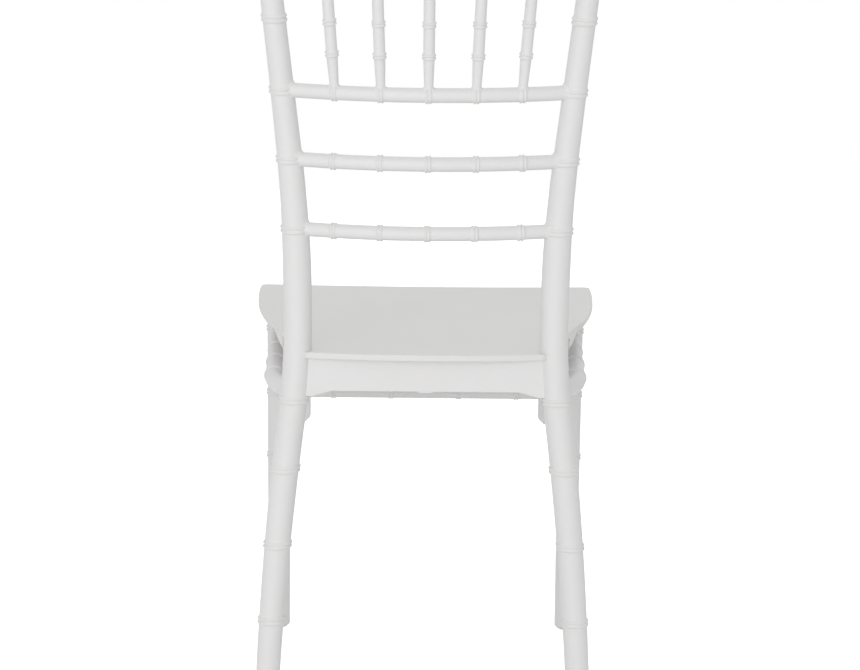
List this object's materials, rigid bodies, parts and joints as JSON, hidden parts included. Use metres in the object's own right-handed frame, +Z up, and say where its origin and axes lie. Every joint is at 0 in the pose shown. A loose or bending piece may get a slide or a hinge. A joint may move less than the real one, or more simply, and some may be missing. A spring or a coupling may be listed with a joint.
{
  "type": "chiavari dining chair",
  "caption": "White moulded chiavari chair with bamboo-style rings, a fanned spindle back, slim back rails and a thin dished seat.",
  "frame": {"origin": "on the floor, in the middle of the chair's overall width and depth", "axes": "+Z up; the sitter faces -Y and the back leans towards +Y; +X is the sitter's left"},
  "size_m": [0.4278, 0.4754, 0.9],
  "materials": {
    "frame_resin": "satin moulded",
    "seat_resin": "fine satin",
    "block_resin": "matt moulded",
    "glide_plastic": "matt",
    "zinc_steel": "zinc plated",
    "brass_insert": "turned"
  },
  "bodies": {
    "root": {"bolt_washers": "zinc_steel", "crest_rail": "frame_resin", "frame_bolts": "zinc_steel", "front_bracket_left": "frame_resin", "front_bracket_right": "frame_resin", "front_corner_block_left": "block_resin", "front_corner_block_right": "block_resin", "front_glide_left": "glide_plastic", "front_glide_right": "glide_plastic", "front_leg_left": "frame_resin", "front_leg_right": "frame_resin", "front_seat_rail": "frame_resin", "front_stretcher": "frame_resin", "lower_back_rail": "frame_resin", "middle_back_rail": "frame_resin", "rear_corner_block_left": "block_resin", "rear_corner_block_right": "block_resin", "rear_glide_left": "glide_plastic", "rear_glide_right": "glide_plastic", "rear_post_left": "frame_resin", "rear_post_right": "frame_resin", "rear_seat_rail": "frame_resin", "seat_screws": "zinc_steel", "seat_shell": "seat_resin", "side_seat_rail_left": "frame_resin", "side_seat_rail_right": "frame_resin", "side_stretcher_left": "frame_resin", "side_stretcher_right": "frame_resin", "spindle_1": "frame_resin", "spindle_2": "frame_resin", "spindle_3": "frame_resin", "spindle_4": "frame_resin", "spindle_5": "frame_resin", "threaded_inserts": "brass_insert", "upper_back_rail": "frame_resin"}
  },
  "joints": []
}
